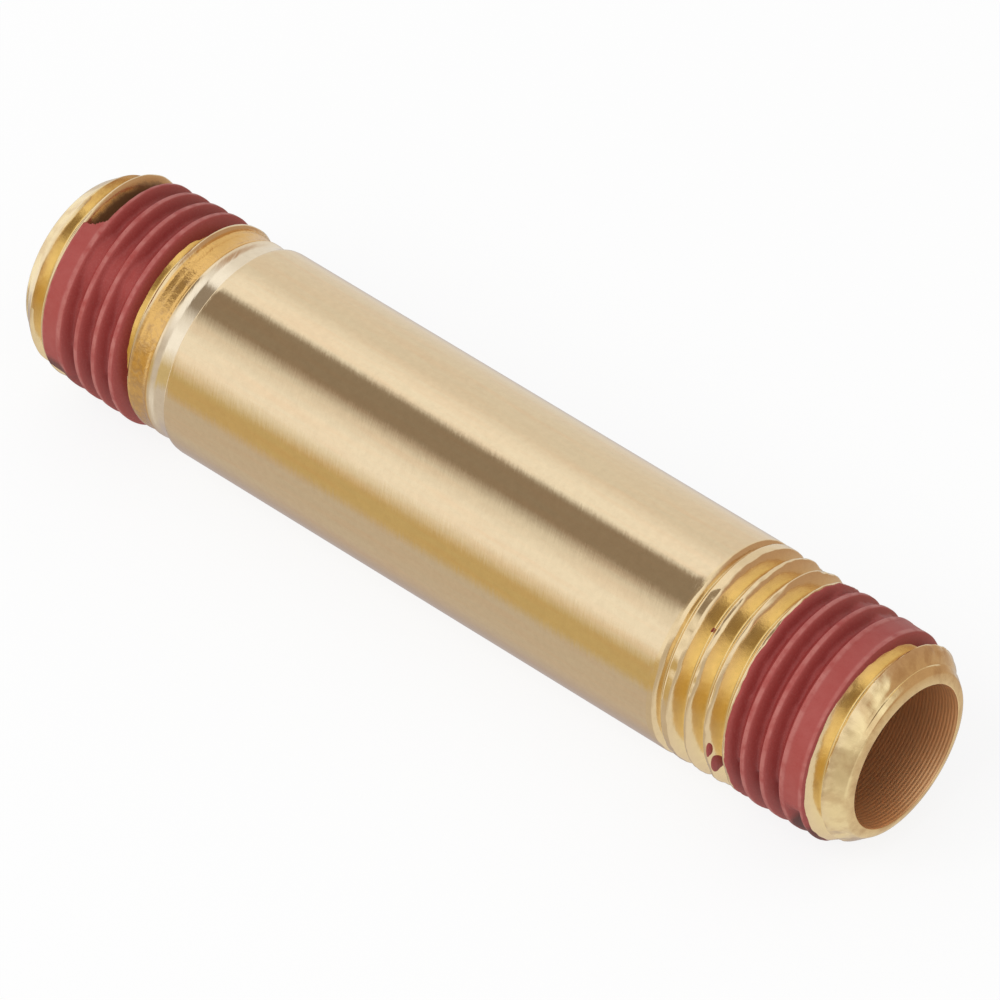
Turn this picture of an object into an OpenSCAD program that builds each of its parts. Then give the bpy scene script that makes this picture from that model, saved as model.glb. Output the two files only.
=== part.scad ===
// Threaded pipe nipple: a turned brass tube of 1/4 in nominal pipe size, with a
// tapered right-hand pipe thread and a coat of dried thread sealant on each end.
// It lies along X with its middle at the origin, and +Z is up. The near end is
// at +X, and the far end, at -X, has a neck behind its thread. Millimetres.

/* [Pipe] */
// Length over the two end faces
nipple_length = 63.5; // [50:0.5:150]
// Outside diameter of the plain barrel
barrel_d = 13.716; // [13.5:0.01:14]
// Diameter of the bore, open from end to end
bore_d = 9.36; // [8:0.02:9.8]
// Diameter of the flat that the chamfer leaves on each end face
face_d = 10.7; // [10:0.05:11]
// Distance that each chamfer runs along the nipple
chamfer_length = 1.55; // [0.8:0.05:1.8]

/* [Thread] */
// Axial distance from one crest to the next, 18 to the inch
pitch = 1.4111; // [1.3:0.01:1.5]
// Growth of the thread's diameter with length, 1 in 16
taper = 0.0625; // [0.05:0.0005:0.07]
// Height missing from the sharp crest
crest_cut = 0.12; // [0.08:0.01:0.16]
// Height missing from the sharp root
root_cut = 0.06; // [0.03:0.01:0.12]
// Angle between the two flanks of a groove
flank_angle = 60; // [58:1:64]
// Flat faces in one turn of a groove
turn_faces = 36; // [24:4:48]

/* [Near end] */
// First crest behind the near end face, on the upper side
near_first_crest = 1.52; // [1.2:0.01:1.8]
// Full depth of the near thread reaches this far behind its end face
near_full_thread = 11.9; // [10:0.1:12.5]
// Length over which the near thread fades out into the barrel
near_fade = 2.4; // [1.5:0.1:4]
// Where the thread's tool leaves a shallow ring on the barrel, behind the near end face
ring_start = 14.35; // [14.3:0.05:16]
// Width of that ring
ring_width = 0.6; // [0.5:0.1:1]
// Depth of that ring
ring_depth = 0.02; // [0.01:0.01:0.05]

/* [Far end] */
// First crest behind the far end face, on the upper side
far_first_crest = 2.06; // [1.6:0.01:2.4]
// Full depth of the far thread reaches this far behind its end face
far_full_thread = 9.3; // [8:0.1:10]
// Length over which the far thread fades out into the neck
far_fade = 1.9; // [1:0.1:3]
// Depth of the neck below the barrel
neck_depth = 0.378; // [0.2:0.002:0.5]
// Where the neck starts behind the far end face
neck_start = 9.7; // [9.2:0.1:10.2]
// Where the neck ends behind the far end face
neck_end = 11.3; // [10.8:0.1:12.5]
// Length of the rounded shoulder from the neck up to the barrel
shoulder_length = 1.3; // [0.8:0.1:2.5]

/* [Sealant] */
// Thickness of the sealant on the crests
crest_coat = 0.02; // [0.01:0.01:0.1]
// Depth of sealant that lies in each groove
groove_coat = 0.35; // [0.2:0.05:0.6]
// Depth of the groove that is left in the smooth band next to the end face
band_groove = 0.05; // [0.03:0.01:0.2]
// Grooves that each coat covers
coated_grooves = 4; // [3:1:4]
// First coated groove behind the near end face, counted from the first crest
near_bare_grooves = 0; // [0:1:1]
// First coated groove behind the far end face, counted from the first crest
far_bare_grooves = 0; // [0:1:1]
// Angle from the upper side, about X, at which a coat's edges step to the next groove
coat_seam = 170; // [150:10:220]

/* [Hidden] */
$fn = 96;

NEAR = 1;
FAR = -1;
half = nipple_length / 2;
barrel_r = barrel_d / 2;
neck_r = barrel_r - neck_depth;

// the standard's rule for the pitch diameter at the end face, from the
// barrel's diameter in inches, to the nearest micron
inch = 25.4;
pitch_d = round(1000 * (barrel_d - (0.05 * barrel_d / inch + 1.1) * pitch)) / 1000;

// the sharp V, its truncated crest and root, and how both lines rise inward
flank_slope = tan(flank_angle / 2);
sharp_height = pitch / 2 / flank_slope;
crest_r = pitch_d / 2 + sharp_height / 2 - crest_cut;
root_r = pitch_d / 2 - sharp_height / 2 + root_cut;
root_flat = 2 * root_cut * flank_slope;
rise = taper / 2;
function crest_line(u) = crest_r + u * rise;
function root_line(u) = root_r + u * rise;

// the side on which the first crests are given, as an angle about X from +Y
upper_side = 37.4;
// a cutter stands this far out of what it cuts, even at the middle of its
// flat faces, which dip inside their circle
cut_clear = crest_cut / 6;
dip = 1 / cos(180 / turn_faces);
// crests reach the barrel's diameter this far behind an end face
taper_length = (barrel_r - crest_r) / rise;
// the far crests drop to the neck over a slope of 45 degrees, from here
neck_edge = (neck_start + neck_r - crest_r) / (1 + rise);
shoulder_steps = 12;

// height of a cutter's root over its line: it climbs out of the metal past
// each end of the full thread, over the two fades
function climb(u, full, fade) =
    max(0, full[0] - u) / fade[0] + max(0, u - full[1]) / fade[1];

// a cutter's cross-section at u behind the end face, as [along X, radius]
function groove_section(u, full, fade) =
    let (top = crest_line(u) * dip + cut_clear,
         bottom = root_line(u) + min(1, climb(u, full, fade)) * (top - cut_clear / 2 - root_line(u)),
         wide = root_flat / 2 + (top - bottom) * flank_slope)
    [[-root_flat / 2, bottom], [root_flat / 2, bottom], [wide, top], [-wide, top]];

// the air in a groove as one solid, which winds to the right round X:
// full and fade are [towards the end face, towards the middle]
module groove(side, first_crest, full, fade) {
    step = pitch / turn_faces;
    groove_x = side * (half - first_crest) + pitch / 2;
    limits = [for (u = [full[0] - fade[0], full[1] + fade[1]]) (side * (half - u) - groove_x) / step];
    first = floor(min(limits));
    last = ceil(max(limits));
    points = [
        for (i = [first:last])
            let (x = groove_x + i * step, a = upper_side + i * 360 / turn_faces)
                for (p = groove_section(half - side * x, full, fade))
                    [x + p[0], p[1] * cos(a), p[1] * sin(a)]
    ];
    faces = [
        for (i = [0:last - first - 1], k = [0:3])
            let (a = 4 * i + k, b = 4 * i + (k + 1) % 4)
                each [[a, a + 4, b + 4], [a, b + 4, b]]
    ];
    end = 4 * (last - first);
    polyhedron(points, concat([[0, 1, 2, 3]], faces, [[end + 3, end + 2, end + 1, end]]), convexity = 20);
}

module turned(profile) {
    rotate([0, 90, 0]) rotate_extrude() polygon(profile);
}

// the bar as it is turned, before the threads are cut
module blank() {
    shoulder = [
        for (i = [0:shoulder_steps])
            let (t = i / shoulder_steps)
                [neck_r + (barrel_r - neck_r) * (1 - cos(180 * t)) / 2, -half + neck_end + t * shoulder_length]
    ];
    turned(concat(
        [[0, -half], [face_d / 2, -half],
         [crest_line(chamfer_length), -half + chamfer_length],
         [crest_line(neck_edge), -half + neck_edge],
         [neck_r, -half + neck_start]],
        shoulder,
        [[barrel_r, half - ring_start - ring_width],
         [barrel_r - ring_depth, half - ring_start - ring_width / 2],
         [barrel_r, half - ring_start]],
        [[barrel_r, half - taper_length],
         [crest_line(chamfer_length), half - chamfer_length],
         [face_d / 2, half], [0, half]]
    ));
}

module threaded_blank() {
    difference() {
        blank();
        groove(NEAR, near_first_crest, [-pitch, near_full_thread], [1, near_fade]);
        groove(FAR, far_first_crest, [-pitch, far_full_thread], [1, far_fade]);
    }
}

module nipple_body() {
    color("goldenrod") difference() {
        threaded_blank();
        rotate([0, 90, 0]) cylinder(h = 2 * nipple_length, d = bore_d, center = true);
    }
}

// three rows of points on one side of a groove, from the edge of its crest in
// to its floor, as [along X, radius on the metal, radius outside the coat]
function coat_flank(u, side, way, fill) =
    let (floor_r = root_line(u),
         reach = root_flat / 2 + (crest_line(u) - floor_r) * flank_slope,
         crest = min(barrel_r, crest_line(u - side * way * reach)) * dip,
         outside = crest + crest_coat,
         crest_x = root_flat / 2 + (crest - floor_r) * flank_slope,
         bend_x = root_flat / 2 + (outside - floor_r - fill) * flank_slope)
    [[way * crest_x, crest, outside],
     [way * bend_x, floor_r + (bend_x - root_flat / 2) / flank_slope, outside],
     [way * root_flat / 2, floor_r, floor_r + fill]];

// the coat is a sheet that winds with the thread, from the edge of one crest
// to the floor of a groove, coated_grooves turns on
module coat(side, groove_x, band_side) {
    rows = 6 * coated_grooves + 3;
    step = 360 / turn_faces;
    function groove_at(turn, column) =
        groove_x + pitch * (turn - 1 + (coat_seam + column * step) / 360);
    // the band's groove is filled almost to the crests
    function fill_in(turn, u) =
        turn == band_side ? crest_line(u) - root_line(u) - band_groove : groove_coat;
    function column_points(column) = [
        for (turn = [0:coated_grooves])
            let (x = groove_at(turn, column), u = half - side * x, fill = fill_in(turn, u),
                 left = coat_flank(u, side, -1, fill), right = coat_flank(u, side, 1, fill),
                 a = upper_side + coat_seam + column * step)
                for (p = concat(left, [right[2], right[1], right[0]]))
                    [for (r = [p[1], p[2]]) [x + p[0], r * cos(a), r * sin(a)]]
    ];
    columns = [for (column = [0:turn_faces]) column_points(column)];
    points = [for (column = columns, row = [0:rows]) each column[row]];
    // past the last column a row carries on as the row one turn further
    function at(column, row, outer) =
        column == turn_faces && row + 6 <= rows ? 2 * (row + 6) + outer
        : 2 * (column * (rows + 1) + row) + outer;
    function quad(a, b, c, d) = [[a, b, c], [a, c, d]];
    function wall(c1, r1, c2, r2) = quad(at(c1, r1, 0), at(c2, r2, 0), at(c2, r2, 1), at(c1, r1, 1));
    skins = [
        for (c = [0:turn_faces - 1], r = [0:rows - 1]) each concat(
            quad(at(c, r, 1), at(c, r + 1, 1), at(c + 1, r + 1, 1), at(c + 1, r, 1)),
            quad(at(c, r, 0), at(c + 1, r, 0), at(c + 1, r + 1, 0), at(c, r + 1, 0)))
    ];
    edges = [
        for (c = [0:turn_faces - 1]) each concat(wall(c + 1, 0, c, 0), wall(c, rows, c + 1, rows))
    ];
    steps = [
        for (r = [0:5]) each concat(wall(0, r, 0, r + 1), wall(turn_faces, rows - r, turn_faces, rows - r - 1))
    ];
    polyhedron(points, concat(skins, edges, steps), convexity = 20);
}

module sealant_near() {
    color("firebrick") coat(NEAR, half - near_first_crest - pitch * (coated_grooves + near_bare_grooves + 0.5), coated_grooves - 1);
}

module sealant_far() {
    color("firebrick") coat(FAR, -half + far_first_crest + pitch * (far_bare_grooves + 0.5), 0);
}

nipple_body();
sealant_near();
sealant_far();
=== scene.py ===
# %% [markdown]
# # A brass pipe nipple, dressed around its CAD model
#
# The real object is a short turned brass tube. It has a tapered pipe thread on each end, and
# dried red thread sealant sits on part of each thread. This lesson builds its looks in Blender:
# the threads and the coats with Geometry Nodes, the finishes with shader nodes written as sums.
# Its pieces are the nipple's skin, a coat on each thread and three small splashes.

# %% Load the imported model
import math

import bmesh
import bpy
from mathutils import Matrix, Vector
from mathutils.bvhtree import BVHTree


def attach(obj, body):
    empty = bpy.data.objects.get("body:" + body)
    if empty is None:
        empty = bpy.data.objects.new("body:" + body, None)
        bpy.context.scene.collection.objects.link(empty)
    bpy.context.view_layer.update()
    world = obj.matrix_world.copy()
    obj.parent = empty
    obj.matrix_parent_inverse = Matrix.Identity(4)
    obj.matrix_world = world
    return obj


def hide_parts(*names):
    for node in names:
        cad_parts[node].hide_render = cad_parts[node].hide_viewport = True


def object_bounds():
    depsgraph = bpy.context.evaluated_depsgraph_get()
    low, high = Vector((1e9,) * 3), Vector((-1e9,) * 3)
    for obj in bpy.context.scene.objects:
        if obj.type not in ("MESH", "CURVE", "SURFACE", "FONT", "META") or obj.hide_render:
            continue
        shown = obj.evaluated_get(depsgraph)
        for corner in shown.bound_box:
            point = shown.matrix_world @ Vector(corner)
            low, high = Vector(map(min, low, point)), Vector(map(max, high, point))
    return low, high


MM = 0.001
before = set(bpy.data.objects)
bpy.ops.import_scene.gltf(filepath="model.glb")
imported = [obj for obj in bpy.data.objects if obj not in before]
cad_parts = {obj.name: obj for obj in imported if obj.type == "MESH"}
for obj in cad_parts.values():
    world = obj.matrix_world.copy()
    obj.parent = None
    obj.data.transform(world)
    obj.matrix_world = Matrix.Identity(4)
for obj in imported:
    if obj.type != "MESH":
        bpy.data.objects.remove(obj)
cad_low, cad_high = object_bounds()
print("CAD box in mm:", [round(side / MM, 3) for side in cad_high - cad_low])

# %% [markdown]
# ## The camera and its image points
#
# A photograph's camera can be found from a few points whose place on the object is known: the
# outline and the rims of the bore. This nipple was taken from far away through a long lens, so
# its edges hardly converge. The camera's cell holds the fit: two angles, a distance and an aim.
# A few marks on the brass have points too. The last cells measure how well all of them agree.

# %% Image points, in pixels of the 1000 by 1000 frame
IMAGE_SIZE = 1000
POINTS = {
    "object_left": (26, None),
    "object_right": (966, None),
    "object_top": (None, 176),
    "object_bottom": (None, 842),
    "bore_left": (856, None),
    "bore_right": (962, None),
    "bore_top": (None, 685),
    "bore_bottom": (None, 828),
    "speck_on_barrel_side": (713, 630),
    "speck_low": (709, 750),
    "splash_beside_coat": (717, 763),
}
print("Image points:", len(POINTS))

# %% The camera
AZIMUTH = math.radians(40.7748)
ELEVATION = math.radians(44.6953)
DISTANCE = 640.37 * MM
LENS = 394.467
SENSOR_WIDTH = 36.0
AIM_RIGHT, AIM_UP = 0.818 * MM, 0.081 * MM


def make_camera():
    """A camera at those two angles, aimed a little off the nipple's middle."""
    right = Vector((math.cos(AZIMUTH), math.sin(AZIMUTH), 0))
    back = Vector((
        math.sin(AZIMUTH) * math.cos(ELEVATION),
        -math.cos(AZIMUTH) * math.cos(ELEVATION),
        math.sin(ELEVATION),
    ))
    up = back.cross(right)
    data = bpy.data.cameras.new("camera")
    data.sensor_fit = "AUTO"
    data.sensor_width = SENSOR_WIDTH
    data.lens = LENS
    data.clip_start = 10 * MM
    made = bpy.data.objects.new("camera", data)
    bpy.context.scene.collection.objects.link(made)
    bpy.context.scene.camera = made
    place = right * AIM_RIGHT + up * AIM_UP + back * DISTANCE
    turn = Matrix((right, up, back)).transposed().to_4x4()
    made.matrix_world = Matrix.Translation(place) @ turn
    return made


camera = make_camera()
print("Camera stands at", [round(value, 3) for value in camera.matrix_world.translation])

# %% [markdown]
# ## Nodes as arithmetic
#
# A thread is a formula: the radius at a place along the nipple and at an angle round it. Such a
# formula is long when each Math node is made by hand. The small class below lets Python's own
# signs make the nodes, for shapes and for finishes alike, so the formulas read as they are.


# %% A socket that can be added, multiplied and compared
class Socket:
    """A node's output. Each sign used on it adds one Math node to its tree."""

    def __init__(self, graph, link):
        self.graph, self.link = graph, link

    def __add__(self, other):
        return self.graph.math("ADD", self, other)

    def __radd__(self, other):
        return self.graph.math("ADD", other, self)

    def __sub__(self, other):
        return self.graph.math("SUBTRACT", self, other)

    def __rsub__(self, other):
        return self.graph.math("SUBTRACT", other, self)

    def __mul__(self, other):
        return self.graph.math("MULTIPLY", self, other)

    def __rmul__(self, other):
        return self.graph.math("MULTIPLY", other, self)

    def __truediv__(self, other):
        return self.graph.math("DIVIDE", self, other)

    def __rtruediv__(self, other):
        return self.graph.math("DIVIDE", other, self)

    def __neg__(self):
        return self.graph.math("MULTIPLY", self, -1)

    def __abs__(self):
        return self.graph.math("ABSOLUTE", self)


# %% One way to add any node
class Graph:
    """Adds nodes to one tree."""

    def __init__(self, tree):
        self.tree = tree

    def node(self, kind, settings=None, inputs=None, output=0):
        """A node of that kind, with its settings first, and then its inputs' values or links."""
        node = self.tree.nodes.new(kind)
        for name, value in (settings or {}).items():
            if name == "stops":
                set_stops(node.color_ramp, value)
            else:
                setattr(node, name, value)
        for key, values in (inputs or {}).items():
            for value in values if isinstance(values, list) else [values]:
                if isinstance(value, Socket):
                    self.tree.links.new(value.link, node.inputs[key])
                else:
                    node.inputs[key].default_value = value
        return Socket(self, node.outputs[output])

    def math(self, operation, *values):
        """One Math node."""
        return self.node("ShaderNodeMath", {"operation": operation}, dict(enumerate(values)))

    def least(self, one, other, round_by=0.0):
        """The smaller of two values, with the corner between them rounded."""
        return self.math("SMOOTH_MIN", one, other, round_by)

    def most(self, one, other, round_by=0.0):
        """The larger of two values, rounded in the same way."""
        return self.math("SMOOTH_MAX", one, other, round_by)

    def part(self, value, low, high):
        """How far value is from low to high, from 0 to 1."""
        ramp = {"Value": value, "From Min": low, "From Max": high}
        return self.node("ShaderNodeMapRange", {"clamp": True}, ramp)

    def soft_part(self, value, low, high):
        """The same, with a smooth start and a smooth end."""
        ramp = {"Value": value, "From Min": low, "From Max": high}
        return self.node("ShaderNodeMapRange", {"interpolation_type": "SMOOTHSTEP"}, ramp)

    def path(self, value, knots):
        """A value that runs straight from knot to knot, each a pair of place and height."""
        height = knots[0][1]
        for (start, low), (end, high) in zip(knots, knots[1:]):
            height = height + self.part(value, start, end) * (high - low)
        return height

    def split(self, vector):
        """A vector's three values."""
        node = self.node("ShaderNodeSeparateXYZ", inputs={0: vector}).link.node
        return [Socket(self, output) for output in node.outputs]

    def join(self, x, y, z):
        """Three values as one vector."""
        return self.node("ShaderNodeCombineXYZ", inputs={0: x, 1: y, 2: z})


def set_stops(ramp, stops):
    """Stops of a colour ramp, each a place and a colour."""
    while len(ramp.elements) < len(stops):
        ramp.elements.new(1.0)
    for element, (place, colour) in zip(ramp.elements, stops):
        element.position = place
        element.color = (*colour, 1)


print("Helpers: Socket, Graph, set_stops")

# %% [markdown]
# ## The sizes
#
# These are the sizes of the real thread, in millimetres, as the CAD model has them. Places along
# the nipple are counted from the nearer end face inwards, because both ends follow one rule.
# Angles round the nipple are shares of a turn, from +Y over the top. The camera's side is FRONT,
# and UPPER_SIDE is where the first crests were counted. The far neck's shallow steps are finer
# here than in the CAD model.

# %% Sizes in millimetres
HALF = 31.75
BARREL = 6.858
BORE = 4.68
FACE = 5.35
CHAMFER = 1.55
PITCH = 1.4111
RISE = 1 / 32
CREST = 6.554
ROOT = 5.512
ROOT_FLAT = 0.069
FLANK = math.sqrt(3)
UPPER_SIDE = 37.4 / 360
FRONT = 127.4 / 360
EDGE = 0.05
BEVEL = 0.18
NECK_END = 12.85

# One end's own sizes: its side along X, its first crest on the upper side, where its full thread
# ends, how long the thread fades after that, how far its skin reaches, how deep its crests are
# dented, and the neck's smooth steps, each with its start, its end and how far it drops.
NEAR = {
    "side": 1, "crest": 1.52, "full": 11.9, "fade": 2.4, "reach": 15.2, "dents": 0.18,
    "neck": [],
}
FAR = {
    "side": -1, "crest": 2.06, "full": 9.2, "fade": 0.5, "reach": 10.75, "dents": 0.03,
    "neck": [
        (9.32, 9.62, 0.28), (9.8, 10.2, 0.06), (10.5, 10.9, -0.08), (10.98, 11.6, 0.14),
        (12.35, 12.55, -0.37), (12.5, 12.8, -0.03),
    ],
}

BODY_SIZES = {
    "Half length": HALF, "Barrel radius": BARREL, "Bore radius": BORE, "Face radius": FACE,
    "Chamfer length": CHAMFER, "Pitch": PITCH, "Rise": RISE, "Crest radius": CREST,
    "Root radius": ROOT, "Rounding": 0.2, "Columns": 192,
}
for label, end in (("near", NEAR), ("far", FAR)):
    print("Turns of full thread at the", label, "end:", round(end["full"] / PITCH, 1))

# %% [markdown]
# ## One formula for the metal
#
# A threading tool cuts a V groove into a blank. So the metal's radius is the smaller of two
# surfaces: the blank, with its chamfer, its tapered crest line and its neck, and the groove, a V
# that follows the helix. A rounded minimum breaks the edges a little, as wear does. A noise takes
# shallow dents out of the crests, mostly at the near end, whose thread is the rougher one.


# %% A noise, for shapes and for finishes
def noise(graph, place, scale, detail=2.0, rough=0.5):
    """An even, cloudy value from 0 to 1. It is fixed by the place, so each run is the same."""
    settings = {"noise_dimensions": "3D"}
    inputs = {"Vector": place, "Scale": scale, "Detail": detail, "Roughness": rough}
    return graph.node("ShaderNodeTexNoise", settings, inputs)


def on_ring(graph, depth, radius, turn):
    """A point at that depth, radius and share of a turn, as a place to read a noise."""
    angle = turn * (2 * math.pi)
    across = radius * graph.math("COSINE", angle)
    up = radius * graph.math("SINE", angle)
    return graph.join(depth, across, up)


print("Helpers: noise, on_ring")

# %% The radius of the metal
FLOOR_ROUNDING = 0.02

# The edges are broken in full from this depth on, and not at all where the skin's reach ends.
WORN_START = 1.0
WORN_RUN_OUT = 1.0

# Radius of the circle on which the noise of the dents is read.
DENT_RING = 6


def helix(graph, size, end, turn):
    """Where the first crest lies behind the end face, at that share of a turn."""
    return end["crest"] - end["side"] * size["Pitch"] * (turn - UPPER_SIDE)


def blank_radius(graph, size, end, depth):
    """The bar as it is turned, before the thread is cut."""
    crest_line = size["Crest radius"] + depth * size["Rise"]
    bar = graph.least(crest_line, size["Barrel radius"])
    rim = size["Crest radius"] + size["Chamfer length"] * size["Rise"]
    slope = (rim - size["Face radius"]) / size["Chamfer length"]
    chamfer = size["Face radius"] + (depth - BEVEL) * slope
    bar = graph.least(bar, chamfer, size["Rounding"])
    if not end["neck"]:
        return bar
    neck = size["Barrel radius"]
    for start, stop, drop in end["neck"]:
        neck = neck - graph.soft_part(depth, start, stop) * drop
    return graph.least(bar, neck)


def in_groove(graph, size, end, depth, turn):
    """Which groove a point is in, its share of the way across, and how far the middle is."""
    count = (depth - helix(graph, size, end, turn)) / size["Pitch"]
    share = graph.math("FRACT", count)
    return count - share, share, abs(share - 0.5) * size["Pitch"]


def groove_radius(graph, size, end, depth, turn):
    """The V that the tool leaves. It climbs out of the metal where the thread fades."""
    _, share, away = in_groove(graph, size, end, depth, turn)
    middle = depth + (0.5 - share) * size["Pitch"]
    top = size["Crest radius"] + middle * size["Rise"]
    floor_radius = size["Root radius"] + middle * size["Rise"]
    climb = graph.part(middle, end["full"], end["full"] + end["fade"])
    bottom = floor_radius + climb * (top - floor_radius)
    wall = graph.most(away - ROOT_FLAT / 2, 0, FLOOR_ROUNDING) * FLANK
    return bottom + wall


def metal_radius(graph, size, end, depth, turn):
    """Both together, with broken edges, and with shallow dents in the crests."""
    blank = blank_radius(graph, size, end, depth)
    groove = groove_radius(graph, size, end, depth, turn)
    worn = graph.part(depth, BEVEL + EDGE, WORN_START)
    worn = worn * graph.part(depth, end["reach"], end["reach"] - WORN_RUN_OUT)
    lumps = noise(graph, on_ring(graph, depth, DENT_RING, turn), scale=0.6, detail=3.0)
    dents = graph.part(lumps, 0.45, 0.7) * end["dents"]
    dents = dents * worn * graph.part(depth, end["full"] + end["fade"], end["full"])
    return graph.least(blank - dents, groove, size["Rounding"] * worn)


print("Formulas: blank, groove, metal")

# %% A grid wrapped round the nipple
MERGE_DISTANCE = 0.0008 * MM


def wrapped_grid(graph, rows, columns):
    """A flat grid, with each point's row, and its share of a turn round the nipple."""
    grid = graph.node(
        "GeometryNodeMeshGrid", inputs={"Vertices X": rows, "Vertices Y": columns + 1}
    )
    index = graph.node("GeometryNodeInputIndex")
    row = graph.math("FLOOR", (index + 0.5) / (columns + 1))
    turn = (index - row * (columns + 1)) / columns
    return grid, row, turn


def put(graph, shape, along, radius, turn):
    """Moves each point to its place along X, its radius and its angle, in metres."""
    angle = turn * (2 * math.pi)
    y = radius * graph.math("COSINE", angle)
    z = radius * graph.math("SINE", angle)
    place = graph.join(along * MM, y * MM, z * MM)
    return graph.node("GeometryNodeSetPosition", inputs={"Geometry": shape, "Position": place})


def flipped(graph, shape):
    """The shape with its faces turned round."""
    return graph.node("GeometryNodeFlipFaces", inputs={0: shape})


def welded(graph, shapes):
    """Several skins as one, with the points that lie on each other merged."""
    joined = graph.node("GeometryNodeJoinGeometry", inputs={0: shapes})
    return graph.node(
        "GeometryNodeMergeByDistance", inputs={"Geometry": joined, "Distance": MERGE_DISTANCE}
    )


print("Helpers: wrapped_grid, put, flipped, welded")

# %% [markdown]
# ## Rows that follow the thread
#
# A crest is only 0.14 mm wide. On a plain grid its edges would look frayed. So the grid's rows
# wind with the helix: they lie close at a crest and at the floor of a groove, and wider on the
# flanks between. At both ends of a thread the rows are held back to a flat ring, and the points
# that then lie on each other are merged.

# %% Rows along the helix
ROWS_PER_TURN = 20
TURNS_BEFORE = 1.5
SPARE_TURNS = 3.2

# How far rows lie from the middle of a crest: the row's number, counted from there, and the gap.
HALF_ROWS = [
    (0, 0), (1, 0.055), (4, 0.25), (8, PITCH / 2 - 0.06), (9, PITCH / 2 - 0.02),
    (10, PITCH / 2),
]


def helical_depth(graph, size, end, row, turn, first, last):
    """How deep behind the end face a row lies at that angle, held between first and last."""
    start = (first - end["crest"]) / PITCH - TURNS_BEFORE
    count = row / ROWS_PER_TURN + start
    nearest = graph.math("ROUND", count)
    offset = count - nearest
    away = graph.path(abs(offset) * ROWS_PER_TURN, HALF_ROWS)
    shift = nearest * size["Pitch"] + graph.math("SIGN", offset) * away
    depth = helix(graph, size, end, turn) + shift
    return graph.least(graph.most(depth, first), last)


def row_count(first, last):
    """Rows enough to reach from first to last at every angle."""
    return math.ceil(((last - first) / PITCH + SPARE_TURNS) * ROWS_PER_TURN)


print("Rows per turn:", ROWS_PER_TURN)

# %% Run a tree and keep its mesh
SHARP_ANGLE = math.radians(50)


def grow(name, sizes, build, material):
    """Builds a Geometry Nodes tree, runs it once, and keeps the result as a plain mesh."""
    tree = bpy.data.node_groups.new(name, "GeometryNodeTree")
    face = tree.interface
    face.new_socket("Geometry", in_out="OUTPUT", socket_type="NodeSocketGeometry")
    entries = {
        label: face.new_socket(label, in_out="INPUT", socket_type="NodeSocketFloat")
        for label in sizes
    }
    graph = Graph(tree)
    source = tree.nodes.new("NodeGroupInput")
    size = {label: Socket(graph, source.outputs[label]) for label in sizes}
    real = graph.node("GeometryNodeRealizeInstances", inputs={0: build(graph, size)})
    done = graph.node(
        "GeometryNodeSetMaterial", inputs={"Geometry": real, "Material": material}
    )
    result = tree.nodes.new("NodeGroupOutput")
    tree.links.new(done.link, result.inputs[0])

    piece = bpy.data.objects.new(name, bpy.data.meshes.new(name))
    bpy.context.scene.collection.objects.link(piece)
    modifier = piece.modifiers.new(name, "NODES")
    modifier.node_group = tree
    for label, value in sizes.items():
        modifier[entries[label].identifier] = float(value)
    bpy.context.view_layer.update()
    ready = piece.evaluated_get(bpy.context.evaluated_depsgraph_get())
    mesh = bpy.data.meshes.new_from_object(ready)
    mesh.name = name
    piece.modifiers.remove(modifier)
    piece.data = mesh
    mesh.shade_smooth()
    mesh.set_sharp_from_angle(angle=SHARP_ANGLE)
    mesh.calc_loop_triangles()
    print(name, "has", len(mesh.loop_triangles), "triangles")
    return piece


print("Helper: grow")

# %% [markdown]
# ## The nipple itself
#
# The tube is one closed skin: the near thread, the barrel, the far thread, and one strip that
# runs over the near face's rims, through the bore and out over the far face's rims. A lathe
# profile spun round X could make the barrel, but not a helix. So both threads come from one
# function with their own sizes, and the plain parts use the same grid to meet them point by point.

# %% Build the nipple
RIM_ROWS = 5
BORE_ROWS = 24
BARREL_ROWS = 24
NECK_ROWS = 48


def body_end(graph, size, end):
    """The skin of one end, from its chamfer's foot to the barrel."""
    first = BEVEL + EDGE
    rows = row_count(first, end["reach"])
    grid, row, turn = wrapped_grid(graph, rows, size["Columns"])
    depth = helical_depth(graph, size, end, row, turn, first, end["reach"])
    radius = metal_radius(graph, size, end, depth, turn)
    skin = put(graph, grid, (size["Half length"] - depth) * end["side"], radius, turn)
    return skin if end["side"] > 0 else flipped(graph, skin)


def barrel_skin(graph, size):
    """The plain barrel, with close rows where it steps down to the far neck."""
    grid, row, turn = wrapped_grid(graph, BARREL_ROWS + NECK_ROWS + 1, size["Columns"])
    depth = graph.path(row, [
        (0, HALF * 2 - NEAR["reach"]), (BARREL_ROWS, NECK_END),
        (BARREL_ROWS + NECK_ROWS, FAR["reach"]),
    ])
    radius = blank_radius(graph, size, FAR, depth)
    return put(graph, grid, depth - size["Half length"], radius, turn)


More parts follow.
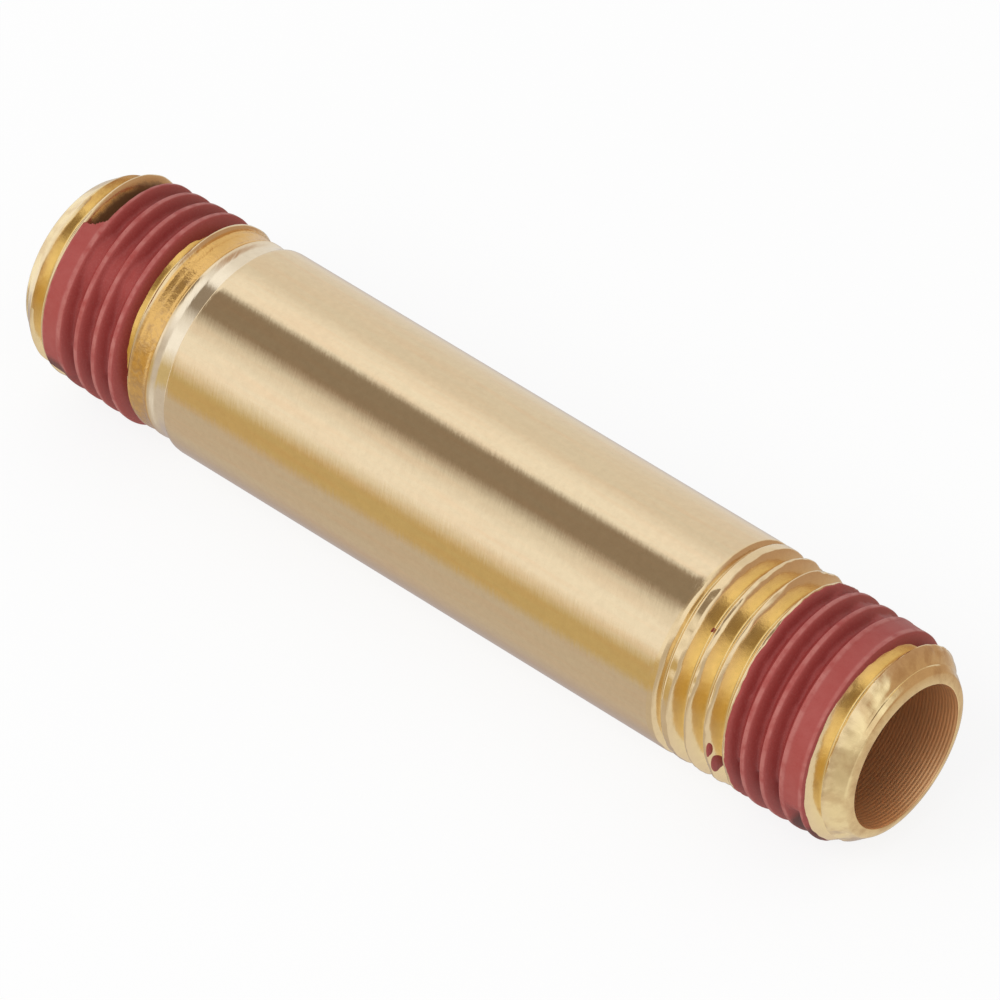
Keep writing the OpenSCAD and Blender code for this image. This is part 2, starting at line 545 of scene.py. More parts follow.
def inner_skin(graph, size):
    """Over the near rims, through the bore and over the far rims."""
    last = 2 * RIM_ROWS + BORE_ROWS
    grid, row, turn = wrapped_grid(graph, last + 1, size["Columns"])
    half, face, bore = size["Half length"], size["Face radius"], size["Bore radius"]
    inward = graph.least(row, last - row)
    rim = size["Crest radius"] + size["Chamfer length"] * size["Rise"]
    slope = (rim - face) / size["Chamfer length"]
    radius = graph.path(inward, [
        (0, face + EDGE * slope), (1, face - EDGE * 0.3), (2, face - EDGE * 2),
        (3, bore + EDGE), (4, bore + EDGE * 0.3), (RIM_ROWS, bore),
    ])
    sunk = graph.path(inward, [
        (0, BEVEL + EDGE), (1, BEVEL), (2, BEVEL - EDGE * 0.6), (3, 0), (4, EDGE * 0.3),
        (RIM_ROWS, EDGE),
    ])
    share = graph.part(row, RIM_ROWS, last - RIM_ROWS)
    along = (half - sunk) * (1 - share * 2)
    return flipped(graph, put(graph, grid, along, radius, turn))


def build_body(graph, size):
    """The whole skin of the nipple."""
    return welded(graph, [
        body_end(graph, size, NEAR), barrel_skin(graph, size),
        body_end(graph, size, FAR), inner_skin(graph, size),
    ])


print("Rows through the bore:", BORE_ROWS, "and along the barrel:", BARREL_ROWS + NECK_ROWS)


# %% [markdown]
# ## Finishes
#
# The barrel is drawn brass: pale, with fine lines along its length and a few warmer streaks. The
# threads were cut later, so their brass is fresher and more golden, with lathe marks round the
# nipple, and their grooves carry a painted glow, brighter and yellower towards the floor. The bore
# is darker and carries the drill's rings. At the far end a ring of gold shows behind the thread,
# then a neck that is paler, partly its own tone and partly a painted highlight, and painted shade
# darkens one groove beside the far coat. All of them are one metal, so one material tells them
# apart by where a point is. A picture could not do this: it would carry the photograph's own light
# with it.


# %% Helpers for a finish
def new_finish(name):
    """A material with an empty principled shader, as its graph and its shader node."""
    material = bpy.data.materials.new(name)
    material.use_nodes = True
    graph = Graph(material.node_tree)
    shader = material.node_tree.nodes["Principled BSDF"]
    return material, graph, shader


def feed(graph, shader, **inputs):
    """Links values into the shader's named inputs."""
    for name, value in inputs.items():
        graph.tree.links.new(value.link, shader.inputs[name.replace("_", " ")])


def position(graph):
    """A point's place on the nipple in millimetres: along X, across Y and Z, and its radius."""
    place = graph.node("ShaderNodeTexCoord", output="Object")
    x, y, z = [value / MM for value in graph.split(place)]
    radius = graph.math("SQRT", y * y + z * z)
    return x, y, z, radius


def around_front(graph, y, z):
    """The angle round the nipple as a share of a turn, 0.5 in front and 0.75 underneath."""
    return graph.math("FRACT", graph.math("ARCTAN2", z, y) / (2 * math.pi) - FRONT + 0.5)


def blend(graph, share, one, other):
    """A colour between two colours. Each may be a link or three numbers."""
    def full(colour):
        return colour if isinstance(colour, Socket) else (*colour, 1)
    inputs = {0: share, 6: full(one), 7: full(other)}
    return graph.node("ShaderNodeMix", {"data_type": "RGBA"}, inputs, output=2)


def bump(graph, height):
    """The normal of a surface with that relief, its height in millimetres."""
    inputs = {"Strength": 1.0, "Distance": MM, "Height": height}
    return graph.node("ShaderNodeBump", inputs=inputs)


print("Helpers: new_finish, feed, position, around_front, blend, bump")


# %% Brass
PALE_BRASS = (0.86, 0.70, 0.46)
CUT_BRASS = (0.88, 0.69, 0.42)
# A painted glow of light bounced between the thread's flanks.
GROOVE_GLOW_BRASS = (0.96, 0.77, 0.42)
GOLD_BRASS = (0.86, 0.53, 0.18)
BORE_BRASS = (0.9, 0.57, 0.3)
# Old tarnish, and the near black of painted shade in a groove.
OLD_AND_SHADED_BRASS = (0.16, 0.07, 0.03)
# Stains, and the brown of painted shade in a groove.
STAINED_AND_SHADED_BRASS = (0.6, 0.38, 0.18)
WARM_BRASS = (0.9, 0.6, 0.36)
# Paler neck: partly its own tone and partly a painted highlight.
NECK_BRASS_AND_HIGHLIGHT = (0.94, 0.82, 0.63)
DRILL_PITCH = 0.23

# Where they are, as depths behind an end face. The painted shade in the far groove follows the
# helix, so its depths are those in front.
NEAR_CUT_END = 13.75
GOLD_START, GOLD_END = 9.55, 10.95
PALE_NECK_END = 12.5
SHADED_GROOVE_START, SHADED_GROOVE_END = 2.5, 4.2


def make_brass():
    """The metal of the whole nipple."""
    material, graph, shader = new_finish("brass")
    x, y, z, radius = position(graph)
    depth = HALF - abs(x)
    near = graph.math("GREATER_THAN", x, 0)
    groove = CREST + depth * RISE - radius
    cut_end = GOLD_END + near * (NEAR_CUT_END - GOLD_END)
    threaded = 1 - graph.soft_part(depth - cut_end, -0.05, 0.05)
    glowing_groove = graph.soft_part(groove, 0.05, 0.9) * threaded
    outside = graph.part(radius, BORE + 0.01, BORE + 0.03)
    gold = graph.soft_part(depth, GOLD_START - 0.1, GOLD_START) * threaded * (1 - near)

    drawn = noise(graph, graph.join(x * 0.04, y, z), scale=9.0, detail=4.0, rough=0.6)
    streaks = noise(graph, graph.join(x * 0.06, y, z), scale=1.6, detail=5.0, rough=0.7)
    crossways = graph.join(x * 6 + y * 2, y * 0.8, z * 0.8)
    strokes = noise(graph, crossways, scale=1.0, detail=3.0, rough=0.6)
    round_and_round = graph.join(x * 14, y * 0.15, z * 0.15)
    turned = noise(graph, round_and_round, scale=1.0, detail=3.0, rough=0.6)
    mottle = noise(graph, graph.join(x, y, z), scale=2.2, detail=4.0, rough=0.6)
    patches = noise(graph, graph.join(x, y, z), scale=0.9, detail=3.0)
    around = around_front(graph, y, z)
    level = depth - (around - 0.5) * PITCH
    drill = graph.math("SINE", (x / DRILL_PITCH + around) * (2 * math.pi))

    warm = graph.part(streaks, 0.42, 0.68)
    colour = blend(graph, warm * 0.35, PALE_BRASS, WARM_BRASS)
    in_neck = graph.part(depth, GOLD_END, GOLD_END + 0.3) * (1 - near)
    in_neck = in_neck * graph.part(depth, PALE_NECK_END, PALE_NECK_END - 0.1)
    # The neck is paler: partly its own tone and partly a painted highlight.
    colour = blend(graph, in_neck, colour, NECK_BRASS_AND_HIGHLIGHT)
    colour = blend(graph, threaded, colour, CUT_BRASS)
    # Painted glow: the grooves are brighter and yellower towards their floor, for light bounced
    # between the flanks.
    colour = blend(graph, glowing_groove, colour, GROOVE_GLOW_BRASS)
    colour = blend(graph, gold, colour, GOLD_BRASS)
    # Brown mottled patches on the gold ring, more of them towards the bottom.
    brown_low_patches = graph.part(mottle + (around - 0.5) * 0.6, 0.5, 0.65) * gold
    colour = blend(graph, brown_low_patches * 0.6, colour, STAINED_AND_SHADED_BRASS)
    colour = blend(graph, outside, BORE_BRASS, colour)
    chamfer = graph.part(depth, CHAMFER, CHAMFER - 0.15) * outside
    colour = blend(graph, chamfer * graph.part(patches, 0.55, 0.35) * 0.5, colour, STAINED_AND_SHADED_BRASS)

    tarnish = graph.path(mottle, [(0.3, 0.08), (0.7, 0.0)])
    tarnish = tarnish + graph.part(drill, -0.2, -1.0) * (1 - outside) * 0.2
    # Painted shade in one groove beside the far coat: brown all over it, near black and less
    # metallic towards its floor.
    in_far_groove_shade = graph.part(level, SHADED_GROOVE_START, SHADED_GROOVE_START + 0.2)
    in_far_groove_shade = in_far_groove_shade * graph.part(level, SHADED_GROOVE_END, SHADED_GROOVE_END - 0.2) * (1 - near)
    in_far_groove_shade = in_far_groove_shade * graph.part(groove, 0.04, 0.2) * outside
    far_groove_shade = graph.part(groove + (mottle - 0.5) * 0.6, 0.25, 0.6) * in_far_groove_shade
    colour = blend(graph, in_far_groove_shade * 0.8, colour, STAINED_AND_SHADED_BRASS)
    colour = blend(graph, graph.most(tarnish, far_groove_shade * 0.9), colour, OLD_AND_SHADED_BRASS)

    rough = 0.07 + drawn * 0.05 + threaded * 0.08 + gold * 0.04 + (1 - outside) * 0.2
    dull = graph.most((1 - outside) * 0.22, far_groove_shade * 0.5)
    on_barrel = drawn * 0.0005 + strokes * 0.012
    on_thread = turned * (0.0015 + chamfer * 0.002 + gold * 0.003) + mottle * (0.012 + gold * 0.04)
    in_bore = drill * 0.003 + turned * 0.002
    height = on_barrel + threaded * (on_thread - on_barrel)
    height = in_bore + outside * (height - in_bore)
    feed(
        graph, shader, Base_Color=colour, Roughness=rough, Metallic=1 - dull,
        Normal=bump(graph, height),
    )
    return material


brass = make_brass()
print("Finish:", brass.name)

# %% [markdown]
# ## The sealant's finish
#
# Dried sealant is a satin red paste, with painted shade in its grooves, darkest towards each
# groove's floor. Over a crest it is lighter: partly rubbed dust and partly a painted highlight.
# Fine grains roughen it, and painted shade darkens each coat at the bottom. The material tells the
# shaded floor from the crest by how high a point lies between the groove's floor and the crest.

# %% Sealant
SEALANT_RED = (0.35, 0.05, 0.042)
# Dark grains, and painted shade in the grooves.
SEALANT_SHADE_AND_GRAIN = (0.27, 0.032, 0.028)
# Dust and grains, and a painted highlight on the crests.
SEALANT_DUST_AND_SHEEN = (0.65, 0.3, 0.26)
# Painted shade at the bottom of each coat.
SEALANT_BOTTOM_SHADE = (0.09, 0.016, 0.011)

# Where painted shade darkens the coats: from and to which share of a turn, 0.75 being underneath,
# how far that place is shifted on each coat, and to which depth.
BOTTOM_SHADE_START, BOTTOM_SHADE_FULL, BOTTOM_SHADE_FADES, BOTTOM_SHADE_END = 0.687, 0.71, 0.74, 0.79
BOTTOM_SHADE_SHIFT = 0.012
BOTTOM_SHADE_DEPTH = 4.2


def make_sealant():
    """The red of the coats and of the splashes."""
    material, graph, shader = new_finish("sealant")
    x, y, z, radius = position(graph)
    depth = HALF - abs(x)
    height = (radius - ROOT - depth * RISE) / (CREST - ROOT)
    grains = noise(graph, graph.join(x, y, z), scale=9.0, detail=4.0, rough=0.65)
    patches = noise(graph, graph.join(x, y, z), scale=1.3, detail=3.0)
    # Painted shade: darker towards each groove's floor.
    sealant_groove_shade = graph.part(height, 0.9, 0.35)
    # Lighter on the crests: partly rubbed dust and partly a painted highlight.
    rubbed_and_sheen = graph.soft_part(height, 0.99, 1.05) * graph.part(patches, 0.3, 0.6)
    grainy = graph.part(grains, 0.5, 0.75)
    colour = blend(graph, sealant_groove_shade, SEALANT_RED, SEALANT_SHADE_AND_GRAIN)
    colour = blend(graph, graph.most(rubbed_and_sheen * 0.4, grainy * 0.12), colour, SEALANT_DUST_AND_SHEEN)
    colour = blend(graph, graph.part(grains, 0.42, 0.3) * 0.5, colour, SEALANT_SHADE_AND_GRAIN)

    side = graph.math("SIGN", x)
    around = around_front(graph, y, z)
    level = depth + (around - 0.5) * side * PITCH
    # Painted shade: each coat darker at the bottom, towards its end face.
    low = around - side * BOTTOM_SHADE_SHIFT
    bottom_shade = graph.soft_part(low, BOTTOM_SHADE_START, BOTTOM_SHADE_FULL)
    bottom_shade = bottom_shade * graph.soft_part(low, BOTTOM_SHADE_END, BOTTOM_SHADE_FADES)
    bottom_shade = bottom_shade * graph.part(level + patches, BOTTOM_SHADE_DEPTH + 0.4, BOTTOM_SHADE_DEPTH)
    colour = blend(graph, bottom_shade * 0.85, colour, SEALANT_BOTTOM_SHADE)
    rough = 0.4 + grains * 0.2
    relief = grains * 0.008 + patches * 0.01
    feed(graph, shader, Base_Color=colour, Roughness=rough, Normal=bump(graph, relief))
    return material


sealant = make_sealant()
print("Finish:", sealant.name)

# %% The nipple as a piece
nipple = grow("nipple_body_skin", BODY_SIZES, build_body, brass)
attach(nipple, "root")
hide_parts("nipple_body")

# %% [markdown]
# ## The coats of sealant
#
# A coat follows the metal under it, so it starts from the metal's own formula. Sealant lies
# thick in a groove and thin on a crest, and its ridges are round. Where its thickness falls
# below nothing it dips just under the brass, and so its edge is as uneven as a brushed one.
#
# Towards its end face the near coat ends in a smooth band that fills one groove, and the far coat
# in a smear over its first groove. Each edge is given at a few places round the nipple, as a
# depth in millimetres, and runs straight between them.

# %% Coat formulas
COAT_SIZES = dict(BODY_SIZES, **{
    "Columns": 288, "Crest film": 0.035, "Flank film": 0.11, "Embedding": 0.04,
    "Ridge rounding": 0.12, "Edge slope": 0.9, "Unevenness": 0.12,
})
NEAR_BODY_EDGE = 8.17

# Where an edge that keeps to its groove steps to the next one, at the back.
SEAM = 0.80
SEAM_HALF_WIDTH = 0.02

# How rounded the coat is: where its two edges near each other, along its ridges' feet, and where
# it thins out towards an edge.
TIP_ROUNDING = 0.1
FOOT_ROUNDING = 0.2
THIN_ROUNDING = 0.05

# How full of sealant a banded groove is, and how much the fill and the film on a crest wander.
BAND_FILL = 1.06
FILL_WANDER = 0.3
FILM_RIPPLE = 0.03
COAT_RING = 6.7

# What is thinner is none, and a face whose points have less than this on average is left out.
THINNEST = 0.002
BARE = 0.0004


def groove_step(graph, size, around):
    """The step of an edge at the seam, one groove high."""
    passed = graph.soft_part(around, SEAM - SEAM_HALF_WIDTH, SEAM + SEAM_HALF_WIDTH)
    return passed * size["Pitch"]


def near_coat(graph, size, level, around):
    """How far inside its edges a point of the near coat is, its grooves' fill, its band's
    strength, and the number of the groove that the band fills.

    level is the depth behind the end face, less the helix's own advance since the front, so
    each crest has one level all round.
    """
    body_edge = groove_step(graph, size, around) + NEAR_BODY_EDGE
    face_edge = graph.path(around, [
        (0.0, 1.95), (0.27, 1.95), (0.3, 2.12), (0.33, 2.22), (0.375, 2.29), (0.43, 2.36),
        (0.5, 2.43), (0.76, 2.43), (1.0, 3.36),
    ])
    fill = graph.path(around, [(0.3, 0.75), (0.33, 0.42), (0.655, 0.36), (0.665, 0.15)])
    band = graph.soft_part(around, 0.16, 0.22) * graph.soft_part(around, 0.73, 0.66)
    inside = graph.least(level - face_edge, body_edge - level, TIP_ROUNDING)
    return inside, fill, band, 1


def far_coat(graph, size, level, around):
    """The same for the far coat, whose band is a smear over its first groove."""
    body_edge = -groove_step(graph, size, around) + graph.path(around, [
        (0.28, 8.92), (0.31, 8.86), (0.35, 8.66), (0.39, 8.55), (0.42, 8.52), (0.55, 8.54),
        (0.61, 8.61), (0.65, 8.75), (0.68, 8.9), (0.71, 8.95), (1.0, 8.92),
    ])
    back = graph.soft_part(around, 0.93, 0.99) * size["Pitch"]
    face_edge = -back + graph.path(around, [
        (0.436, 3.7), (0.441, 3.3), (0.456, 2.49), (0.71, 2.49), (0.73, 3.7),
    ])
    fill = graph.path(around, [
        (0.44, 0.42), (0.48, 0.75), (0.51, 0.75), (0.55, 0.42), (0.655, 0.36), (0.665, 0.2),
    ])
    band = graph.soft_part(around, 0.40, 0.44) * graph.soft_part(around, 0.74, 0.71)
    inside = graph.least(level - face_edge, body_edge - level, TIP_ROUNDING)
    return inside, fill, band, 0


def coat_skin(graph, size, end, rule, first, last):
    """The outer and the inner skin of a coat, closed where they meet."""
    rows = row_count(first, last)
    grid, row, turn = wrapped_grid(graph, rows, size["Columns"])
    depth = helical_depth(graph, size, end, row, turn, first, last)
    metal = metal_radius(graph, size, end, depth, turn)
    around = graph.math("FRACT", turn - FRONT + 0.5)
    level = depth + (around - 0.5) * (size["Pitch"] * end["side"])
    inside, fill, band, band_groove = rule(graph, size, level, around)

    groove, _, away = in_groove(graph, size, end, depth, turn)
    in_band = graph.math("COMPARE", groove, band_groove, 0.1) * band
    crest_line = size["Crest radius"] + depth * size["Rise"] + size["Crest film"]
    floor_radius = size["Root radius"] + depth * size["Rise"]

    place = on_ring(graph, depth, COAT_RING, turn)
    wander = noise(graph, place, scale=0.9, detail=3.0) - 0.5
    ripple = noise(graph, place, scale=0.95) - 0.5
    first_groove = end["crest"] + PITCH / 2
    fill = (fill + wander * FILL_WANDER) * graph.part(depth, first_groove, first_groove + PITCH)
    fill = fill + in_band * (BAND_FILL - fill)
    wall = (away - ROOT_FLAT / 2 + size["Flank film"]) * FLANK
    ridged = floor_radius + graph.most(wall, fill, FOOT_ROUNDING)
    film = crest_line + ripple * FILM_RIPPLE
    surface = graph.least(ridged, film, size["Ridge rounding"])

    inside = inside + wander * size["Unevenness"]
    steep = 1 + in_band * graph.path(around, [(0.43, 1), (0.47, 4)])
    taper = size["Embedding"] + inside * size["Edge slope"] * steep
    thick = graph.least(surface - metal + size["Embedding"], taper, THIN_ROUNDING)
    thick = thick * graph.math("GREATER_THAN", thick, THINNEST)
    along = (size["Half length"] - depth) * end["side"]
    inner = put(graph, grid, along, metal - size["Embedding"], turn)
    outer = put(graph, grid, along, metal - size["Embedding"] + thick, turn)
    on_points = {"data_type": "FLOAT", "domain": "POINT"}
    mean = graph.node("GeometryNodeFieldOnDomain", on_points, {0: thick})
    bare = graph.math("LESS_THAN", mean, BARE)
    skins = [outer, flipped(graph, inner)] if end["side"] > 0 else [flipped(graph, outer), inner]
    on_faces = {"domain": "FACE"}
    kept = [
        graph.node("GeometryNodeDeleteGeometry", on_faces, {"Geometry": skin, "Selection": bare})
        for skin in skins
    ]
    return welded(graph, kept)


print("Formulas: near_coat, far_coat, coat_skin")


# %% Build both coats
def make_coat(name, node, end, rule, first, last):
    """A coat as a piece. It lies somewhere between the depths first and last."""
    def build(graph, size):
        return coat_skin(graph, size, end, rule, first, last)

    piece = grow(name, COAT_SIZES, build, sealant)
    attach(piece, "root")
    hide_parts(node)
    return piece


near_skin = make_coat(
    "sealant_near_coat", "sealant_near", NEAR, near_coat, first=0.9, last=9.7
)
far_skin = make_coat("sealant_far_coat", "sealant_far", FAR, far_coat, first=1.7, last=9.7)

# %% [markdown]
# ## Splashes beside the coats
#
# The brush that laid the sealant also left a few marks on the bare brass. They're too small and
# too random for a rule, so each is placed by its point in the picture: a ray from the camera
# through that point finds the metal. A splash is a thin lens that follows the metal under it.


# %% From the picture to a surface, and back
SEARCH = 40


def image_ray(x, y):
    """The camera's ray through a point of the image."""
    view = camera.data
    aim = Vector((
        x - IMAGE_SIZE / 2 + view.shift_x * IMAGE_SIZE,
        IMAGE_SIZE / 2 - y + view.shift_y * IMAGE_SIZE,
        -IMAGE_SIZE * view.lens / view.sensor_width,
    ))
    return camera.matrix_world.translation, (camera.matrix_world.to_3x3() @ aim).normalized()


def place_on(surface, x, y):
    """Where the ray meets a surface and how that faces, or the surface's place nearest the ray."""
    start, way = image_ray(x, y)
    place, normal, _, _ = surface.ray_cast(start, way)
    if place is None:
        along = [start + way * (DISTANCE + step * MM) for step in range(-SEARCH, SEARCH + 1)]
        found = [surface.find_nearest(point) for point in along]
        place, normal, _, _ = min(found, key=lambda hit: hit[3])
    return place, normal


def image_point(place):
    """Where a place shows in the image."""
    view = camera.data
    x, y, z = camera.matrix_world.inverted() @ place
    scale = IMAGE_SIZE * view.lens / view.sensor_width / -z
    shown_x = IMAGE_SIZE / 2 - view.shift_x * IMAGE_SIZE + x * scale
    shown_y = IMAGE_SIZE / 2 + view.shift_y * IMAGE_SIZE - y * scale
    return shown_x, shown_y


def surface_of(*objects):
    """One searchable surface of several finished pieces."""
    places, faces = [], []
    for item in objects:
        first = len(places)
        places += [vertex.co.copy() for vertex in item.data.vertices]
        faces += [[first + corner for corner in face.vertices] for face in item.data.polygons]
    return BVHTree.FromPolygons(places, faces)


metal = surface_of(nipple)
print("The camera's middle ray meets the metal at", place_on(metal, 500, 500)[0])

# %% Splashes: half width along the nipple, half length round it, and height, in millimetres
SPLASHES = {
    "speck_on_barrel_side": (0.14, 0.3, 0.012),
    "speck_low": (0.24, 0.8, 0.04),
    "splash_beside_coat": (0.42, 1.0, 0.06),
}
SPLASH_RINGS = 6
SPLASH_SIDES = 28
SPLASH_SINK = 0.02
SPLASH_MERGE = 0.0005 * MM


def splash(surface, point, wide, long, height):
    """The places and faces of one splash, closed underneath."""
    middle, normal = place_on(surface, *point)
    around = normal.cross(Vector((1, 0, 0))).normalized()
    along = around.cross(normal)
    places, faces = [], []
    for lift, rings in ((height, SPLASH_RINGS + 1), (-SPLASH_SINK, SPLASH_RINGS)):
        for ring in range(rings):
            share = ring / SPLASH_RINGS
            for side in range(SPLASH_SIDES):
                turn = 2 * math.pi * side / SPLASH_SIDES
                lobes = 0.16 * math.sin(2 * turn + 1) + 0.09 * math.sin(3 * turn + 2)
                reach = share * (1 + lobes)
                offset = along * (wide * math.cos(turn)) + around * (long * math.sin(turn))
                place, facing, _, _ = surface.find_nearest(middle + offset * (reach * MM))
                rise = lift * (1 - share * share) - SPLASH_SINK * share * share
                places.append(place + facing * ((rise if lift > 0 else lift) * MM))
    order = list(range(SPLASH_RINGS + 1)) + list(range(SPLASH_RINGS * 2, SPLASH_RINGS, -1))
    for upper, lower in zip(order, order[1:]):
        for side in range(SPLASH_SIDES):
            other = (side + 1) % SPLASH_SIDES
            faces.append([
                upper * SPLASH_SIDES + side, lower * SPLASH_SIDES + side,
                lower * SPLASH_SIDES + other, upper * SPLASH_SIDES + other,
            ])
    return places, faces


def make_splashes():
    """All splashes as one piece, and each one's own places."""
    places, faces, owners = [], [], {}
    for name, (wide, long, height) in SPLASHES.items():
        new_places, new_faces = splash(metal, POINTS[name], wide, long, height)
        first = len(places)
        owners[name] = range(first, first + len(new_places))
        places += new_places
        faces += [[first + corner for corner in face] for face in new_faces]
    mesh = bpy.data.meshes.new("sealant_splashes")
    mesh.from_pydata(places, [], faces)
    mesh.materials.append(sealant)
    work = bmesh.new()
    work.from_mesh(mesh)
    bmesh.ops.remove_doubles(work, verts=work.verts, dist=SPLASH_MERGE)
    bmesh.ops.recalc_face_normals(work, faces=work.faces)
    work.to_mesh(mesh)
    work.free()
    mesh.shade_smooth()
    piece = bpy.data.objects.new("sealant_splashes", mesh)
    bpy.context.scene.collection.objects.link(piece)
    return piece, {name: [places[index] for index in owned] for name, owned in owners.items()}


splashes, splash_places = make_splashes()
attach(splashes, "root")
print("Splashes:", len(SPLASHES), "with", len(splashes.data.polygons), "faces")

# %% [markdown]
# ## The stage
#
# Metal looks like what stands round it, so a bare white studio would leave this nipple without a
# shape. A photographer hangs a few cards beside such a part. Here they are bands of the world,
# drawn by direction round X, because a band that runs along the nipple gives one clean line on
# it. Alongside hang a dark card overhead between white cloths, a gold one low in front, and a
# bench and shade below. Towards +X the end face and the chamfer see wood behind, cloth overhead
# and a bench in front, and towards -X there is cloth alone. The camera sees plain white, and matt
# surfaces get an even light.

# %% World
CLOTH = (1.0, 1.0, 1.0)
WALL = (0.8, 0.78, 0.75)
DARK_CARD = (0.3, 0.25, 0.2)
GOLD_CARD = (0.6, 0.48, 0.25)
BENCH = (0.6, 0.55, 0.5)
SHADE = (0.5, 0.45, 0.45)
WOOD = (0.5, 0.35, 0.25)
EVEN_LIGHT = (0.7, 0.7, 0.7)

# Where each card starts and ends, as a share of a turn from +Y over the top.
ALONGSIDE = [
    (0.0, WALL), (0.12, WALL), (0.18, CLOTH), (0.22, CLOTH), (0.24, DARK_CARD), (0.31, DARK_CARD),
    (0.35, WALL), (0.4, CLOTH), (0.45, CLOTH), (0.51, GOLD_CARD), (0.56, GOLD_CARD),
    (0.59, BENCH), (0.7, BENCH), (0.77, SHADE), (0.85, SHADE), (0.93, WALL),
]
AT_THE_END = [
    (0.0, WOOD), (0.14, WOOD), (0.2, WALL), (0.25, CLOTH), (0.36, CLOTH), (0.45, BENCH),
    (0.55, BENCH), (0.62, WALL), (0.76, WALL), (0.95, WOOD),
]

# The x of the directions between which one set of cards gives way to the next.
END_STARTS, END_FULL = -0.3, 0.0
CLOTH_STARTS, CLOTH_FULL = -0.7, -0.85


def make_world():
    """White for the camera, cards for what mirrors, and an even light for what is matt."""
    world = bpy.data.worlds.new("studio")
    bpy.context.scene.world = world
    world.use_nodes = True
    graph = Graph(world.node_tree)
    x, y, z = graph.split(graph.node("ShaderNodeTexCoord", output="Generated"))
    around = graph.math("FRACT", graph.math("ARCTAN2", z, y) / (2 * math.pi))
    alongside = graph.node("ShaderNodeValToRGB", {"stops": ALONGSIDE}, {0: around})
    at_the_end = graph.node("ShaderNodeValToRGB", {"stops": AT_THE_END}, {0: around})
    cards = blend(graph, graph.soft_part(x, END_STARTS, END_FULL), alongside, at_the_end)
    cards = blend(graph, graph.soft_part(x, CLOTH_STARTS, CLOTH_FULL), cards, CLOTH)
    camera_ray = graph.node("ShaderNodeLightPath", output="Is Camera Ray")
    glossy_ray = graph.node("ShaderNodeLightPath", output="Is Glossy Ray")
    clear_ray = graph.node("ShaderNodeLightPath", output="Is Transmission Ray")
    mirrored = blend(graph, graph.most(glossy_ray, clear_ray), EVEN_LIGHT, cards)
    shown = blend(graph, camera_ray, mirrored, CLOTH)
    background = world.node_tree.nodes["Background"]
    world.node_tree.links.new(shown.link, background.inputs["Color"])
    background.inputs["Strength"].default_value = 1.0
    return world


make_world()
print("Stops alongside:", len(ALONGSIDE), "and at the end:", len(AT_THE_END))

# %% [markdown]
# ## The floor and the lamp
#
# The photograph's ground is pure white. A plain white floor under soft light would render grey
# and uneven, so most of what the camera sees of it glows white, and a small share stays matt and
# takes a faint shadow. One soft lamp gives the matt sealant its light and dark sides.

# %% Floor and lamp
FLOOR_REACH = 0.6
FLOOR_GAP = 0.02 * MM
FLOOR_WHITE = (0.95, 0.95, 0.95, 1)
SHADOW_SHARE = 0.15
LAMP_DISTANCE = 0.8


def make_floor():
    """A white floor that the metal doesn't mirror, with a faint shadow."""
    mesh = bpy.data.meshes.new("floor")
    height = cad_low.z - FLOOR_GAP
    size = FLOOR_REACH
    around = [(-size, -size), (size, -size), (size, size), (-size, size)]
    corners = [(x, y, height) for x, y in around]
    mesh.from_pydata(corners, [], [(0, 1, 2, 3)])
    floor = bpy.data.objects.new("floor", mesh)
    bpy.context.scene.collection.objects.link(floor)
    material = bpy.data.materials.new("floor")
    material.use_nodes = True
    graph = Graph(material.node_tree)
    graph.tree.nodes.remove(graph.tree.nodes["Principled BSDF"])
    plain = graph.node("ShaderNodeBsdfDiffuse", inputs={"Color": FLOOR_WHITE})
    white = graph.node("ShaderNodeEmission", inputs={"Color": (1, 1, 1, 1), "Strength": 1.0})
    camera_ray = graph.node("ShaderNodeLightPath", output="Is Camera Ray")
    mixed = graph.node(
        "ShaderNodeMixShader", inputs={0: camera_ray * (1 - SHADOW_SHARE), 1: plain, 2: white}
    )
    surface = graph.tree.nodes["Material Output"].inputs["Surface"]
    graph.tree.links.new(mixed.link, surface)
    mesh.materials.append(material)
    floor.visible_glossy = False
    return floor


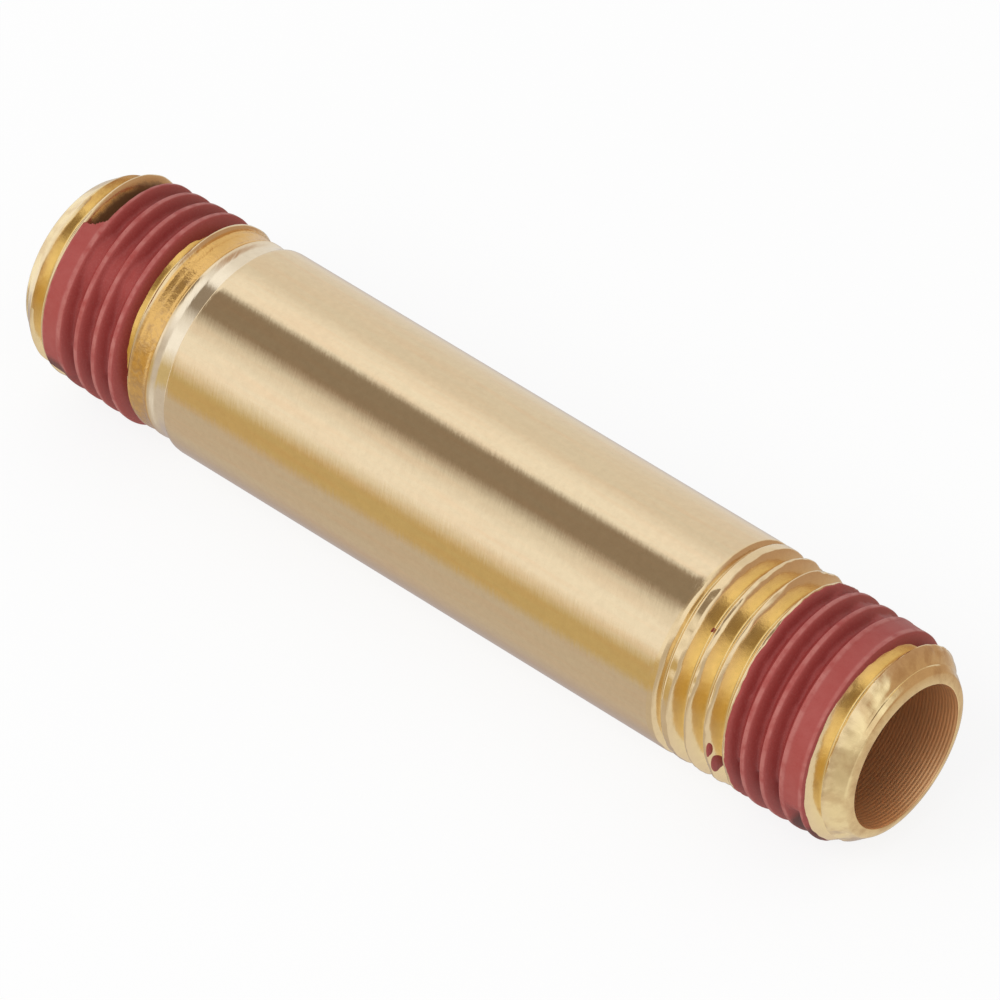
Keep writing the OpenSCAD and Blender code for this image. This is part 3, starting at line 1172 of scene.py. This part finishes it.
def make_lamp(name, toward, size, power):
    """A square area lamp that shines at the nipple's middle and isn't mirrored in it."""
    data = bpy.data.lights.new(name, "AREA")
    data.size = size
    data.energy = power
    lamp = bpy.data.objects.new(name, data)
    bpy.context.scene.collection.objects.link(lamp)
    direction = Vector(toward).normalized()
    turn = direction.to_track_quat("Z", "Y").to_matrix().to_4x4()
    lamp.matrix_world = Matrix.Translation(direction * LAMP_DISTANCE) @ turn
    lamp.visible_glossy = False
    return lamp


make_floor()
make_lamp("key", (-0.2, -0.7, 0.8), size=0.5, power=2.6)
bpy.context.scene.view_settings.view_transform = "Standard"
print("Stage ready, viewed as", bpy.context.scene.view_settings.view_transform)

# %% [markdown]
# ## How well it all agrees
#
# The camera was fitted to the image points, and the splashes were placed by them. So the finished
# pieces are measured against the same points, in pixels.

# %% How far each thing shows from its image point
RIM = 0.06 * MM
TOUCH = 0.02 * MM


def shown_edges():
    """The picture's x and y of each named edge and splash, from the finished vertices."""
    dressed = [nipple, near_skin, far_skin, splashes]
    everything = surface_of(*dressed)
    eye = camera.matrix_world.translation

    def shows(place):
        way = place - eye
        hit, _, _, _ = everything.ray_cast(eye, way.normalized())
        return hit is None or (hit - eye).length > way.length - TOUCH

    all_over = [image_point(vertex.co) for item in dressed for vertex in item.data.vertices]
    rim = [
        image_point(vertex.co) for vertex in nipple.data.vertices
        if vertex.co.x > HALF * MM - RIM and math.hypot(vertex.co.y, vertex.co.z) < BORE * MM + RIM
    ]
    shown = {}
    for label, points in (("object", all_over), ("bore", rim)):
        xs, ys = zip(*points)
        shown[f"{label}_left"] = (min(xs), None)
        shown[f"{label}_right"] = (max(xs), None)
        shown[f"{label}_top"] = (None, min(ys))
        shown[f"{label}_bottom"] = (None, max(ys))
    for name, places in splash_places.items():
        xs, ys = zip(*[image_point(place) for place in places if shows(place)])
        shown[name] = ((min(xs) + max(xs)) / 2, (min(ys) + max(ys)) / 2)
    return shown


for name, place in shown_edges().items():
    [
        None if wanted is None else round(found - wanted, 2)
        for found, wanted in zip(place, POINTS[name])
    ]
